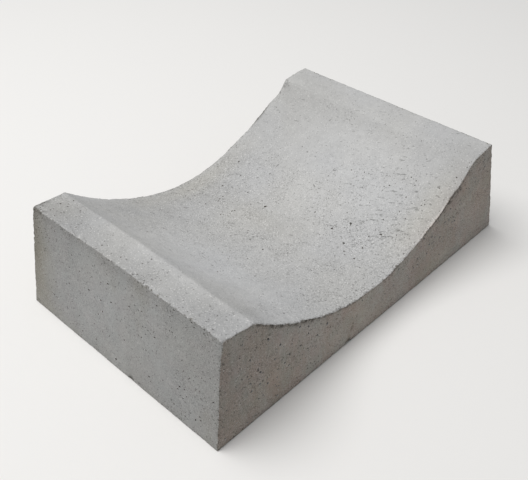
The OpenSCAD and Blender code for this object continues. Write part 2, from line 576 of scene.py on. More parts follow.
# Air holes. Each is (chart, u, v, radius, depth as a share of the radius).
HOLES = {"top": 120, "left": 130, "right": 90, "near": 220, "far": 120, "base": 60}
SMALL = {"top": 1060, "left": 1150, "right": 480, "near": 1150, "far": 520, "base": 0}


def placed_holes():
    """The few air holes big enough to be noticed one by one: place on the face and radius, mm."""
    on_top = [
        (75, -85, 2.1), (30, 46, 2.1), (41, -100, 1.9), (53, -68, 1.8), (82, -135, 1.8),
        (-173, 71, 1.7), (49, -128, 1.6), (-156, -50, 1.7), (27, -131, 1.5), (-2, 114, 1.5),
        (-49, -26, 1.5), (-221, 108, 1.9), (-217, -50, 1.8), (79, 153, 1.5), (-243, 164, 1.5),
    ]
    on_near = [
        (-99, 65, 2.3), (-204, 114, 2.3), (-185, 91, 2), (-210, 45, 1.9), (-237, 53, 1.8),
        (42, 38, 1.9), (-170, 115, 1.8), (-235, 103, 1.8), (-220, 72, 1.9), (176, 118, 1.9),
        (111, 80, 1.9), (126, 61, 1.9), (163, 80, 1.9), (189, 69, 1.9),
    ]
    on_left = [
        (3, 13, 2.2), (21, 122, 1.9), (61, 91, 1.9), (14, 98, 1.7), (-121, 52, 1.7), (-179, 68, 1.6),
        (165, 3, 1.6), (-74, 144, 1.5), (-152, 21, 1.5), (137, 62, 1.5), (-22, 112, 1.5),
    ]
    out = [("top", float(s_of(x)), y, r, 1.0) for x, y, r in on_top]
    out += [("near", x, z * END / H, r, 1.0) for x, z, r in on_near]
    out += [("left", y, z * SIDE / H, r, 1.0) for y, z, r in on_left]
    return out


# Where the middle-sized holes crowd: middle and spread of the area, how many, and their radii.
CROWDS = {
    "top": (
        ((155, -135), (22, 32), 15, (0.9, 1.2)), ((62, -100), (28, 40), 5, (1.1, 1.3)),
        ((0, 95), (50, 35), 9, (1.2, 1.4)), ((-40, 150), (40, 20), 5, (1.2, 1.5)), ((-250, 145), (12, 26), 12, (0.8, 1.2)),
        ((-240, 10), (14, 60), 4, (1.2, 1.3)),
    ),
    "near": (
        ((-190, 85), (30, 30), 6, (1.5, 1.8)), ((-124, 80), (12, 12), 4, (1.5, 1.7)),
        ((40, 60), (50, 14), 5, (1.5, 1.7)), ((182, 80), (28, 42), 14, (1.4, 1.8)),
        ((-98, 11), (26, 6), 8, (1.2, 1.3)),
    ),
    "left": (
        ((169, 133), (14, 14), 14, (0.9, 1.3)), ((-130, 60), (32, 26), 7, (1.4, 1.5)),
        ((50, 75), (60, 38), 9, (1.4, 1.5)),
    ),
}


def patches(x, y, spots):
    total = 0.0
    for cx, cy, rx, ry, w in spots:
        total = total + w * np.exp(-(((x - cx) / rx) ** 2) - ((y - cy) / ry) ** 2)
    return total


def busy(x, y):
    """Where the top is rougher and more pitted: low in the channel, towards its near right and
    on the left lip. The right lip and the flank beside it were trowelled smooth."""
    low = 0.9 * np.exp(-((x / 120) ** 4))
    return np.clip(low + patches(x, y, (
        (148, -133, 62, 52, 0.32), (40, -140, 60, 34, 0.38), (20, 128, 100, 45, 0.2),
        (-119, 98, 60, 60, 0.75), (-248, 110, 26, 80, 0.3), (51, -16, 55, 50, -0.3), (78, -106, 34, 28, -0.2), (-248, -60, 26, 110, 0.5),
        (-130, -158, 90, 32, 0.8), (150, -40, 60, 60, 0.3), (-140, -20, 50, 80, 0.45),
    )), 0, 1)


def streaky(x, y):
    """Where the float left short scratches on the top."""
    return np.clip(patches(x, y, (
        (148, -133, 62, 52, 0.8), (75, -140, 60, 50, 0.85), (60, -60, 70, 60, 0.22), (150, -40, 60, 60, 0.4),
        (20, 120, 100, 50, 0.3), (-119, 98, 60, 60, 0.3), (-40, 20, 80, 80, 0.3), (-245, 130, 30, 40, 0.35),
    )), 0, 1)


def make_holes(name):
    u0, u1, v0, v1 = extent(name)
    taken = []
    cell = {}

    def free(u, v, r):
        ci, cj = int(u // 8), int(v // 8)
        for a in (-1, 0, 1):
            for b in (-1, 0, 1):
                for k in cell.get((ci + a, cj + b), ()):
                    q = taken[k]
                    if (q[0] - u) ** 2 + (q[1] - v) ** 2 < (1.25 * (q[2] + r) + 1.0) ** 2:
                        return False
        return True

    def take(u, v, r, k):
        cell.setdefault((int(u // 8), int(v // 8)), []).append(len(taken))
        taken.append((u, v, r, k))

    def clear(u, v, r):
        return inside_distance(name, np.array([[u, v]]))[0] > 1.35 * r + 1.0 and free(u, v, r)

    for n, u, v, r, k in placed_holes():
        if n == name and clear(u, v, r):
            take(u, v, r, k)
    draw = np.random.default_rng(len(name) + 20)
    for (cu, cv), (su, sv), count, (small_r, large_r) in CROWDS.get(name, ()):
        tries = 0
        while count and tries < 400:
            tries += 1
            u, v, r = draw.normal(cu, su), draw.normal(cv, sv), draw.uniform(small_r, large_r)
            u = float(s_of(u)) if name == "top" else u
            if clear(u, v, r):
                take(u, v, r, 1.0)
                count -= 1
    # Broken-out grains under the near arris and at the far left corner.
    for _ in range({"near": 110, "left": 46, "top": 70}.get(name, 0)):
        away, r = 1.9 + rng.exponential(3.2), rng.uniform(0.5, 1.05)
        if name == "near":
            x = rng.uniform(118, 232) if rng.random() < 0.6 else rng.uniform(-228, -90)
            u, v = x, float(np.interp(x, xs, prof)) - away * 1.15
        elif name == "left":
            u, v = end_y(H) - 2.5 - rng.exponential(12), SIDE - 2.5 - rng.exponential(14)
        elif rng.random() < 0.25:
            u, v = 2.5 + rng.exponential(5), top_f - 2.5 - rng.exponential(7)
        else:
            x = rng.uniform(-228, -60) if rng.random() < 0.6 else rng.uniform(110, 225)
            u, v = float(s_of(x)), -end_y(float(np.interp(x, xs, prof))) + away
        if clear(u, v, r):
            take(u, v, r, 0.9)
    seed = {"top": 61, "left": 62, "right": 63, "near": 64, "far": 65, "base": 66}[name]
    want_big, want_small = HOLES[name], SMALL[name]
    tries = 0
    big = small = 0
    while (big < want_big or small < want_small) and tries < 40000:
        tries += 1
        u, v = rng.uniform(u0, u1), rng.uniform(v0, v1)
        is_big = big < want_big
        if is_big:
            r = min(1.7, 0.8 + rng.exponential(0.15 if name == "top" else 0.24))
        else:
            r = rng.uniform(0.4, 0.71)
        crowd = float(noise(np.array([[u, v, 0.0]]), 42, seed)[0])
        if name == "top" and crowd < 1:
            crowd = crowd * (0.6 + 0.35 * float(busy(x_of(u), v)))
        if rng.random() > 0.12 + 1.5 * crowd**2:
            continue
        if not clear(u, v, r):
            continue
        take(u, v, r, rng.uniform(0.3, 0.7) if name == "top" else rng.uniform(0.5, 1.0))
        if is_big:
            big += 1
        else:
            small += 1
    return taken


def within(f, m):
    """Which triangles lie inside the outline, whose points are 0 to m - 1 in order. The
    triangulation fills its hull, so those outside are found from the outline's far side."""
    across = {}
    for k, (a, b, c) in enumerate(f.tolist()):
        across[a, b] = across[b, c] = across[c, a] = k
    good = np.ones(len(f), bool)
    todo = [across[(i + 1) % m, i] for i in range(m) if ((i + 1) % m, i) in across]
    while todo:
        k = todo.pop()
        if not good[k]:
            continue
        good[k] = False
        a, b, c = f[k].tolist()
        for p, q in ((a, b), (b, c), (c, a)):
            on_outline = p < m and q < m and (p - q) % m in (1, m - 1)
            if not on_outline and (q, p) in across:
                todo.append(across[q, p])
    return good


tri, tri_uv, tri_face = [], [], []
FACE_NO = {"top": 0, "left": 1, "right": 2, "near": 3, "far": 4, "base": 5}
pit_ids, pit_depth, pit_mask = [], [], []
for name in ("top", "left", "right", "near", "far", "base"):
    ids, uv = outline(name)
    holes = make_holes(name)
    sheet = sheet_points(name)
    keep = np.ones(len(sheet), bool)
    cells = {}
    for k, (a, b) in enumerate(sheet):
        cells.setdefault((int(a // 8), int(b // 8)), []).append(k)
    ring_uv, ring_depth, ring_mask, ring_edges = [], [], [], []
    base_index = len(ids)
    for u, v, r, k in holes:
        clear = 1.3 * r + 0.8
        ci, cj = int(u // 8), int(v // 8)
        for a in (-1, 0, 1):
            for b in (-1, 0, 1):
                for q in cells.get((ci + a, cj + b), ()):
                    if (sheet[q, 0] - u) ** 2 + (sheet[q, 1] - v) ** 2 < clear * clear:
                        keep[q] = False
        n = 9 if r > 1.4 else 8 if r > 0.72 else 6
        turn = rng.uniform(0, 2 * math.pi)
        long = rng.uniform(1.0, 1.45) if r > 0.72 else rng.uniform(1.0, 1.2)
        ca, sa = math.cos(turn), math.sin(turn)
        ang = np.arange(n) * 2 * math.pi / n + rng.uniform(-0.12, 0.12, n)
        rim = r * (1 + rng.uniform(-0.16, 0.16, n))
        x, y = rim * np.cos(ang) * long**0.5, rim * np.sin(ang) / long**0.5
        first = base_index + len(ring_uv)
        for a, b in zip(x, y):
            ring_uv.append((u + a * ca - b * sa, v + a * sa + b * ca))
            ring_depth.append(0.0)
            ring_mask.append(0.0)
        ring_edges += [(first + i, first + (i + 1) % n) for i in range(n)]
        if r > 0.72:
            inner = rng.uniform(0.62, 0.8)
            for a, b in zip(x, y):
                ring_uv.append((u + inner * (a * ca - b * sa), v + inner * (a * sa + b * ca)))
                ring_depth.append(0.72 * r * k * rng.uniform(0.85, 1.15))
                ring_mask.append(0.85 * min(1.0, k))
            second = first + n
            ring_edges += [(second + i, second + (i + 1) % n) for i in range(n)]
            ring_uv.append((u + rng.uniform(-0.15, 0.15) * r, v + rng.uniform(-0.15, 0.15) * r))
            ring_depth.append(1.15 * r * k)
            ring_mask.append(min(1.0, k))
        else:
            ring_uv.append((u, v))
            ring_depth.append(1.1 * r * k)
            ring_mask.append(k)
    sheet = sheet[keep]
    local = np.concatenate([uv, np.array(ring_uv).reshape(-1, 2), sheet])
    m = len(ids)
    rim_loop = [(i, (i + 1) % m) for i in range(m)]
    verts, _, faces, orig, _, _ = delaunay_2d_cdt(
        [Vector(p) for p in local], rim_loop + ring_edges, [], 1, 1e-5, True
    )
    # Each output vertex is one of the input points; anything else would be a crossing.
    to_local = np.array([o[0] if o else -1 for o in orig])
    assert (to_local >= 0).all() and len(verts) == len(local), (name, len(verts), len(local))
    inner_ids = new_points(charts[name](local[m:, 0], local[m:, 1]))
    gid = np.concatenate([ids, inner_ids])
    nr = len(ring_uv)
    pit_ids.append(inner_ids[:nr])
    pit_depth.append(np.array(ring_depth))
    pit_mask.append(np.array(ring_mask))
    f = to_local[np.array([tuple(t) for t in faces if len(t) == 3])]
    f = f[within(f, m)]
    flip = name in ("left", "far", "base")
    if flip:
        f = f[:, ::-1]
    tri.append(gid[f])
    tri_uv.append(local[f])
    tri_face.append(np.full(len(f), FACE_NO[name]))

P = np.concatenate(points)
tri = np.concatenate(tri)
tri_uv = np.concatenate(tri_uv)
tri_face = np.concatenate(tri_face)
depth = np.zeros(len(P))
mask = np.zeros(len(P))
depth[np.concatenate(pit_ids)] = np.concatenate(pit_depth)
mask[np.concatenate(pit_ids)] = np.concatenate(pit_mask)

# ---------------------------------------------------------------- draw the points onto the worn shape
reach = []
for c, rad, _ in chips:
    lim = rad.max() * 1.3 + 2.5
    near = np.abs(P - c).max(1) < lim
    reach.append(np.nonzero(near)[0])
sharp = P.copy()
for _ in range(4):
    n, size = gradient(P, reach)
    f = field(P, reach)
    P = P - n * np.clip(f / np.maximum(size, 0.6), -3, 3)[:, None]
n, _ = gradient(P, reach, 0.9)
P = P - n * depth[:, None]
P[:, 2] = np.maximum(P[:, 2], 0.0)

# Where a hole and a chip meet, a triangle can turn over: its corners are eased until none does.
pairs = np.concatenate([tri[:, (0, 1)], tri[:, (1, 2)], tri[:, (2, 0)]])
pairs = np.unique(np.sort(pairs, 1), axis=0)
degree = np.bincount(pairs.ravel(), minlength=len(P))
sides = np.sort(np.concatenate([tri[:, (0, 1)], tri[:, (1, 2)], tri[:, (2, 0)]]), 1)
owner = np.tile(np.arange(len(tri)), 3)[np.lexsort((sides[:, 1], sides[:, 0]))]
side_a, side_b = owner[0::2], owner[1::2]
for _ in range(12):
    a, b, c = P[tri[:, 0]], P[tri[:, 1]], P[tri[:, 2]]
    face = np.cross(b - a, c - a)
    size = np.maximum(np.linalg.norm(face, axis=1), 1e-9)
    steep = (face * (n[tri[:, 0]] + n[tri[:, 1]] + n[tri[:, 2]])).sum(1) / (3 * size) < 0.03
    folded = (face[side_a] * face[side_b]).sum(1) < -0.7 * size[side_a] * size[side_b]
    if not steep.any() and not folded.any():
        break
    around = np.zeros_like(P)
    np.add.at(around, pairs[:, 0], P[pairs[:, 1]])
    np.add.at(around, pairs[:, 1], P[pairs[:, 0]])
    bad = np.unique(np.concatenate([tri[steep], tri[side_a[folded]], tri[side_b[folded]]]))
    P[bad] = 0.4 * P[bad] + 0.6 * around[bad] / degree[bad, None]

# How near an arris each point is, for the material, and how rough the top is there.
second = np.sort(planes(P), 0)[-2]
arris = np.exp(-np.clip(-second, 0, 60) / 3.5)
rough_here = np.where(n[:, 2] > 0.5, busy(P[:, 0], P[:, 1]), np.where(np.abs(n[:, 1]) > 0.6, 0.9, 0.7))
scratched = np.where(n[:, 2] > 0.5, streaky(P[:, 0], P[:, 1]), 0.0)


def paste_tone_and_painted_light(p):
    """Slow changes of tone and of warmth over the block: 0.5 where there is none. Mostly the paste's own mottling, with
    some patches of painted shade and painted light.
    """
    x, y, z = p.T
    t = 0.5 + patches(x, y, (
        (-252, 140, 36, 80, -0.55), (-250, -150, 36, 70, -0.38), (-250, -10, 30, 60, -0.1), (-268, 0, 16, 200, -0.12),
        # A paler patch on the channel's left flank: painted light on a flank the lamp lights less.
        (-150, 145, 60, 60, -0.34), (-205, -150, 20, 60, -0.1), (-140, -10, 50, 90, 0.24),
        (0, 150, 120, 40, -0.1), (-30, -60, 70, 90, -0.1), (36, -31, 70, 70, 0.1), (236, 130, 40, 70, -0.12),
        (140, 0, 90, 120, 0.26), (190, 90, 40, 60, -0.14), (245, -150, 34, 60, -0.2), (-20, -165, 110, 26, -0.08), (0, -20, 60, 60, -0.08),
        (-264, 0, 26, 400, -0.2), (-252, 0, 24, 30, -0.1), (0, 150, 230, 45, -0.12), (200, 165, 24, 30, -0.12),
        (0, 60, 30, 60, -0.12), (118, 70, 26, 26, -0.1), (-95, -40, 60, 45, 0.14), (155, -90, 26, 45, 0.15),
        (118, -160, 24, 26, 0.16), (185, -166, 34, 22, -0.2), (-196, -160, 22, 24, -0.18),
    ))
    # Near end: paler along its foot, painted light against the floor's shade there; darker just under the top edge at
    # the foot of the left flank, painted shade.
    end = 0.46 + patches(x, z, ((-290, 80, 46, 90, -0.42), (-60, 60, 90, 90, 0.22), (250, 60, 60, 90, 0.27),
                                 (0, 6, 400, 18, 0.28), (152, 10, 56, 24, 0.5), (-250, 85, 50, 50, -0.16), (-180, 128, 40, 24, -0.3), (270, 130, 20, 30, -0.2), (175, 120, 20, 9, -0.5)))
    left = 0.45 + patches(y, z, (
        (-140, 80, 60, 90, -0.16),
        (-170, 90, 26, 90, -0.18), (150, 60, 60, 60, -0.1), (40, 40, 60, 60, 0.06),
        # a dark band along the top, under the worn-back arris: painted shade
        (95, 156, 85, 13, -0.3), (0, 150, 80, 9, -0.4), (-120, 158, 50, 8, -0.12),
        (188, 128, 30, 60, -0.8), (186, 40, 24, 50, -0.34), (140, 150, 26, 26, -0.22), (-110, 150, 60, 28, -0.24),
        (-170, 148, 24, 22, -0.1), (-60, 14, 60, 22, -0.16), (100, 132, 30, 16, -0.2),
    ))
    w = 0.5 + patches(x, y, (
        (0, 172, 110, 24, 0.5), (135, -170, 80, 26, 0.5), (-140, -20, 60, 90, -0.35),
        (160, 30, 60, 70, -0.2), (-250, -60, 40, 60, 0.15), (60, -20, 60, 60, 0.1),
        (0, 60, 34, 80, 0.25), (-250, 160, 30, 30, 0.3),
    ))
    far_left = 0.5 + patches(y, z, ((184, 80, 26, 110, 1.05), (60, 120, 80, 40, -0.15)))
    on_top, on_near, on_left = n[:, 2] > 0.5, n[:, 1] < -0.6, n[:, 0] < -0.6
    t = np.select([on_top, on_near, on_left], [t, end, left], 0.5)
    w = np.select([on_top, on_left], [w, far_left], 0.5)
    return np.clip(0.25 + 0.5 * t, 0, 1), np.clip(0.25 + 0.5 * w, 0, 1)


def dirt(p):
    """Dark marks: crumbs and the dirt in them, with painted shade under the near arris, along the break in the far
    arris and in the notches at the foot.
    """
    x, y, z = p.T
    d = planes(p)
    crumbs = np.clip((noise(p, 2.7, 71) - 0.42) * 5, 0, 1)
    on_end, on_top = np.clip((-n[:, 1] - 0.3) / 0.25, 0, 1), np.where(n[:, 2] > 0.3, 1.0, 0.0)
    # Just below the top on the near end, most of all at the foot of the left flank: crumbs, and painted shade under the
    # chipped arris.
    under = np.clip(1.75 + d[0] / 3.5, 0, 1)
    thin = np.clip(1.2 + d[0] / np.where(x > 100, 4.2, 2.4), 0, 1)
    m = on_end * (0.3 + 0.7 * crumbs) * np.clip(
        under * np.exp(-(((x + 168) / 60) ** 4))
        + thin * (
            0.8 * np.exp(-(((x + 62) / 66) ** 4)) + 0.5 * np.exp(-(((x - 70) / 90) ** 4))
            + 0.75 * np.exp(-(((x - 178) / 56) ** 4)) + 0.6 * np.exp(-(((x + 250) / 26) ** 4))
        ), 0, 1)
    # Dark crumbs here and there a little lower, at the foot of the right flank.
    lower = np.clip(1.6 + d[0] / 9, 0, 1) * np.exp(-(((x - 176) / 50) ** 4)) * on_end
    m = np.maximum(m, 0.8 * lower * np.clip((noise(p, 3.0, 74) - 0.6) * 6, 0, 1))
    # Crumbs above the same arris, and the shaded break in the far one.
    above = np.clip(1 + d[3] / 4.5, 0, 1) * on_top * np.clip((noise(p, 2.4, 72) - 0.52) * 5, 0, 1)
    m = np.maximum(m, 0.7 * above * np.exp(-(((x + 140) / 92) ** 4)))
    back = np.clip(1.9 + d[4] / 2.9, 0, 1) * np.exp(-(((x - 164) / 17) ** 4)) * (0.5 + 0.5 * on_top)
    back = back * np.clip(1.6 + d[0] / 4, 0, 1) * np.where(on_top > 0, 1.0, 0.4 + 0.6 * crumbs)
    m = np.maximum(m, 0.95 * back)
    for c, r, k in (((-OUT, top_f, H - 3), 12, 0.6), ((-OUT, top_f - 22, H), 13, 0.5), ((-OUT, top_n, H), 8, 0.5),
                    ((OUT, top_n, H - 3), 7, 0.6), ((-258, top_f, 158), 14, 0.5)):
        m = np.maximum(m, k * np.clip(1.25 - np.sqrt((((p - c) / r) ** 2).sum(1)), 0, 1) * (0.1 + 0.9 * crumbs))
    far_left = np.clip(1 + d[4] / 14, 0, 1) * np.where(n[:, 0] < -0.6, 1.0, 0.0) * np.clip((z - 60) / 60, 0, 1)
    m = np.maximum(m, 0.5 * far_left * np.clip((noise(p, 3.1, 73) - 0.55) * 5, 0, 1))
    # The notches at the foot of the left side and of the near end, and the break in the far arris, are painted dark:
    # painted shade inside them.
    for c, r in (((-W / 2, -28.5, 1.5), 5.6), ((-57, ny, 1.5), 6.0), ((173, fy - 3, 117), 5.0)):
        m = np.maximum(m, np.clip(1.3 - np.sqrt((((p - c) / r) ** 2).sum(1)), 0, 1))
    return np.clip(m, 0, 1)


tone_painted_light, warmth = paste_tone_and_painted_light(P)
dirt_and_shade = dirt(P)
# A pinkish band, paler at its very edge, where the right flank meets the near end.
inward = P[:, 1] + end_y(P[:, 2])
strip = np.clip(1.7 - inward / 2.6, 0, 1) * np.exp(-(((P[:, 0] - 134) / 40) ** 4)) * (0.6 + 0.6 * noise(P, 6, 75))
strip = np.clip(strip, 0, 1) * np.where(n[:, 2] > 0.5, 1.0, 0.0)
rim = 0.5 * np.clip(1.2 - inward / 20, 0, 1) * np.exp(-(((P[:, 0] - 145) / 75) ** 4)) * np.where(n[:, 2] > 0.5, 1.0, 0.0)
rim = rim + (1 - rim) * strip
dirt_and_shade = dirt_and_shade * (1 - 0.95 * strip)

# How far each point has been chipped or worn back, for the material.
chipped = np.zeros(len(P))
for (c, rad, _), idx in zip(chips, reach):
    if len(idx):
        away = (P[idx] - c) / (rad + 0.7)
        inside = (away * away).sum(1) < 1
        chipped[idx[inside]] = np.maximum(chipped[idx[inside]], min(1.0, 0.25 + rad.min() / 2.4))
chipped = np.maximum(chipped, np.clip((torn(P, planes(P)) - 0.5) / 1.2, 0, 0.9))

# ---------------------------------------------------------------- the mesh object
mesh = bpy.data.meshes.new("drainage_block_cast")
mesh.vertices.add(len(P))
mesh.vertices.foreach_set("co", (P * 0.001).astype(np.float32).ravel())
mesh.loops.add(len(tri) * 3)
mesh.loops.foreach_set("vertex_index", tri.astype(np.int32).ravel())
mesh.polygons.add(len(tri))
mesh.polygons.foreach_set("loop_start", np.arange(0, len(tri) * 3, 3, dtype=np.int32))
mesh.polygons.foreach_set("use_smooth", np.ones(len(tri), bool))
mesh.update(calc_edges=True)
mesh.validate()
for name, values in (("pit", mask), ("arris", arris), ("chip", chipped), ("busy", rough_here), ("scratch", scratched), ("tone", tone_painted_light), ("warmth", warmth), ("dirt", dirt_and_shade), ("rim", rim)):
    at = mesh.attributes.new(name, "FLOAT", "POINT")
    at.data.foreach_set("value", values.astype(np.float32))
# A map laid out face by face, all at one scale but for the base.
SIZE = 830.0
uvs = np.empty((len(tri), 3, 2))
for k in range(6):
    m = tri_face == k
    q = tri_uv[m]
    if k == 0:
        uvs[m] = q + [8, 8 - ny]
    elif k in (1, 2):
        uvs[m] = q[..., ::-1] + [652, 8 - ny + (0 if k == 1 else 398)]
    elif k in (3, 4):
        uvs[m] = q + [8 + W / 2, 396 if k == 3 else 564]
    else:
        uvs[m] = q * 0.225 + [8 + W * 0.1125, 734 + 0.1125 * L]
uvs /= SIZE
layer = mesh.uv_layers.new(name="OFBake")
layer.uv.foreach_set("vector", uvs.astype(np.float32).ravel())
mesh.set_sharp_from_angle(angle=math.radians(38))
block = bpy.data.objects.new("cast_block", mesh)
bpy.context.scene.collection.objects.link(block)


# ---------------------------------------------------------------- materials
def new_material(name):
    mat = bpy.data.materials.new(name)
    mat.use_nodes = True
    return mat, mat.node_tree, mat.node_tree.nodes["Principled BSDF"]


def node(tree, kind, **settings):
    made = tree.nodes.new(kind)
    inputs = settings.pop("inputs", {})
    for k, v in settings.items():
        setattr(made, k, v)
    for k, v in inputs.items():
        if isinstance(v, bpy.types.NodeSocket):
            tree.links.new(v, made.inputs[k])
        else:
            made.inputs[k].default_value = v
    return made


def ramp(tree, fac, stops):
    made = tree.nodes.new("ShaderNodeValToRGB")
    tree.links.new(fac, made.inputs["Fac"])
    e = made.color_ramp.elements
    while len(e) < len(stops):
        e.new(0.5)
    for item, (pos, col) in zip(e, stops):
        item.position = pos
        item.color = (*col, 1) if isinstance(col, tuple) else (col, col, col, 1)
    return made.outputs["Color"]


def maths(tree, op, a, b=None, clamp=False):
    made = tree.nodes.new("ShaderNodeMath")
    made.operation = op
    made.use_clamp = clamp
    for i, v in enumerate((a, b)):
        if v is None:
            continue
        if isinstance(v, bpy.types.NodeSocket):
            tree.links.new(v, made.inputs[i])
        else:
            made.inputs[i].default_value = v
    return made.outputs[0]


def mixed(tree, kind, fac, a, b):
    made = tree.nodes.new("ShaderNodeMix")
    made.data_type = "RGBA"
    made.blend_type = kind
    for key, v in ((0, fac), (6, a), (7, b)):
        if isinstance(v, bpy.types.NodeSocket):
            tree.links.new(v, made.inputs[key])
        elif key == 0:
            made.inputs[0].default_value = v
        else:
            made.inputs[key].default_value = (*v, 1)
    return made.outputs[2]


def concrete():
    mat, t, bsdf = new_material("cast_concrete")
    coord = node(t, "ShaderNodeTexCoord").outputs["Object"]

    def cloud(scale, detail, rough, offset=(0, 0, 0), stretch=(1, 1, 1), turn=0.0, distort=0.0):
        m = node(
            t, "ShaderNodeMapping", vector_type="TEXTURE",
            inputs={"Vector": coord, "Location": offset, "Rotation": (0, 0, math.radians(turn)), "Scale": stretch},
        )
        return node(
            t, "ShaderNodeTexNoise",
            inputs={"Vector": m.outputs[0], "Scale": scale, "Detail": detail, "Roughness": rough, "Distortion": distort},
        ).outputs["Fac"]

    def mark(name):
        return node(t, "ShaderNodeAttribute", attribute_name=name).outputs["Fac"]

    def times(*values):
        out = values[0]
        for v in values[1:]:
            out = maths(t, "MULTIPLY", out, v)
        return out

    geo = node(t, "ShaderNodeNewGeometry")
    normal = node(t, "ShaderNodeSeparateXYZ", inputs={"Vector": geo.outputs["Normal"]})
    up = ramp(t, normal.outputs["Z"], [(0.30, 0.0), (0.62, 1.0)])
    side = maths(t, "SUBTRACT", 1.0, up)
    endness = ramp(t, maths(t, "ABSOLUTE", normal.outputs["Y"]), [(0.55, 0.0), (0.85, 1.0)])
    pit, arris, chip, busy_here, scratch = mark("pit"), mark("arris"), mark("chip"), mark("busy"), mark("scratch")

    # Slow changes of tone in the cement paste, with the painted light and shade of the tone attribute. The top is the
    # palest because the sides and ends are darkened as painted shade.
    warm, cool = (0.463, 0.460, 0.450), (0.459, 0.460, 0.460)
    colour = mixed(t, "MIX", ramp(t, cloud(6.5, 2, 0.5), [(0.40, 0.0), (0.60, 1.0)]), warm, cool)
    colour = mixed(t, "MULTIPLY", 1.0, colour, ramp(t, cloud(20, 3, 0.55, (3.1, 1.7, 0.4), distort=0.4), [(0.3, 0.955), (0.7, 1.035)]))
    mottle = cloud(95, 4, 0.6, (0.3, 5.1, 2.2))
    colour = mixed(t, "MULTIPLY", 1.0, colour, ramp(t, mottle, [(0.3, 0.945), (0.7, 1.04)]))
    # Sides and ends multiplied darker: painted shade.
    colour = mixed(t, "MULTIPLY", side, colour, (0.80, 0.798, 0.785))
    # The tone attribute brings together the paste's mottling and patches of painted light and painted shade.
    colour = mixed(t, "MULTIPLY", 1.0, colour, ramp(t, mark("tone"), [(0.0, 0.64), (0.5, 1.0), (1.0, 1.32)]))
    tint = ramp(t, mark("warmth"), [(0.0, (0.944, 0.98, 1.06)), (0.5, 1.0), (1.0, (1.0, 0.956, 0.85))])
    colour = mixed(t, "MULTIPLY", 1.0, colour, tint)
    band = ramp(t, mark("rim"), [(0.0, 1.0), (0.5, (0.925, 0.902, 0.892)), (1.0, (1.24, 1.18, 1.155))])
    colour = mixed(t, "MULTIPLY", 1.0, colour, band)

    # The cast faces: faint upright bands from the mould. The ends are warmer, browner and darker, partly the cast
    # face's own stain and partly painted shade.
    bands = cloud(34, 3, 0.6, (0.5, 0.2, 8), (1, 1, 7))
    brown = mixed(t, "MIX", ramp(t, bands, [(0.40, 0.0), (0.60, 1.0)]), (0.98, 0.866, 0.785), (0.95, 0.892, 0.835))
    colour = mixed(t, "MULTIPLY", endness, colour, brown)
    colour = mixed(t, "MULTIPLY", side, colour, ramp(t, bands, [(0.3, 0.95), (0.7, 1.04)]))
    tinge = cloud(42, 2, 0.5, (4.0, 2.0, 6.0))
    tinged = maths(t, "ADD", times(side, 0.25), times(endness, 0.75))
    colour = mixed(t, "MULTIPLY", tinged, colour, ramp(t, tinge, [(0.36, (0.972, 1.006, 1.0)), (0.64, (1.032, 0.99, 0.99))]))
    stain = cloud(11, 3, 0.55, (2.0, 7.0, 1.0), (1, 1, 1.6))
    stain = times(ramp(t, stain, [(0.52, 0.0), (0.68, 1.0)]), side)
    colour = mixed(t, "MULTIPLY", stain, colour, (0.94, 0.925, 0.885))

    # Sand in the paste: a fine grain everywhere, plainer on the cast faces and where the top is rough.
    sand = cloud(430, 3, 0.65, (1.3, 0.1, 4.4))
    grit = cloud(700, 1, 0.5, (6.1, 3.3, 0.7))
    grain = cloud(1150, 2, 0.6, (6.1, 3.3, 0.7))
    plain = maths(t, "MAXIMUM", times(side, 0.4), busy_here)
    rough_share = maths(t, "ADD", times(busy_here, 0.5), times(side, 0.24))
    rough_share = maths(t, "ADD", rough_share, times(endness, 0.25))
    patchy = ramp(t, cloud(19, 3, 0.6, (5, 5, 0)), [(0.40, 0.35), (0.58, 1.25)])
    rough_share = maths(t, "MULTIPLY_ADD", rough_share, patchy, clamp=True)
    t.nodes[-1].inputs[2].default_value = 0.08
    colour = mixed(t, "MULTIPLY", rough_share, colour, ramp(t, sand, [(0.30, 0.83), (0.70, 1.13)]))
    colour = mixed(t, "MULTIPLY", rough_share, colour, ramp(t, grit, [(0.26, 0.58), (0.40, 0.95), (0.58, 1.03), (0.74, 1.18)]))
    colour = mixed(t, "MULTIPLY", maths(t, "SUBTRACT", 0.8, times(up, 0.12)), colour, ramp(t, grain, [(0.25, 0.88), (0.75, 1.11)]))

    # Specks: irregular dark grains and shallow pinholes, gathered in some places.
    gather = cloud(24, 3, 0.6, (8.0, 0.5, 3.0))
    gather = maths(t, "MULTIPLY", gather, 0.16)
    gather = maths(t, "ADD", gather, times(plain, 0.045))
    gather = maths(t, "ADD", gather, times(arris, 0.07))
    coarse = maths(t, "ADD", cloud(320, 2, 0.55, (0, 4, 0)), gather)
    coarse = ramp(t, coarse, [(0.775, 0.0), (0.81, 1.0)])
    fine = maths(t, "ADD", cloud(640, 2, 0.5, (5, 0, 1)), maths(t, "ADD", gather, times(busy_here, up, 0.022)))
    fine = ramp(t, fine, [(0.765, 0.0), (0.805, 1.0)])
    pale = maths(t, "ADD", cloud(540, 2, 0.5, (1, 9, 2)), times(arris, 0.035))
    pale = ramp(t, maths(t, "ADD", pale, times(up, busy_here, 0.012)), [(0.618, 0.0), (0.664, 1.0)])
    pale_share = maths(t, "MULTIPLY_ADD", plain, 0.2)
    t.nodes[-1].inputs[2].default_value = 0.5
    pale_share = maths(t, "MULTIPLY", pale_share, maths(t, "SUBTRACT", 1.0, times(side, 0.58)))
    colour = mixed(t, "MIX", times(pale, pale_share), colour, (0.69, 0.683, 0.665))
    colour = mixed(t, "MULTIPLY", coarse, colour, (0.46, 0.45, 0.44))
    colour = mixed(t, "MULTIPLY", fine, colour, (0.64, 0.63, 0.62))

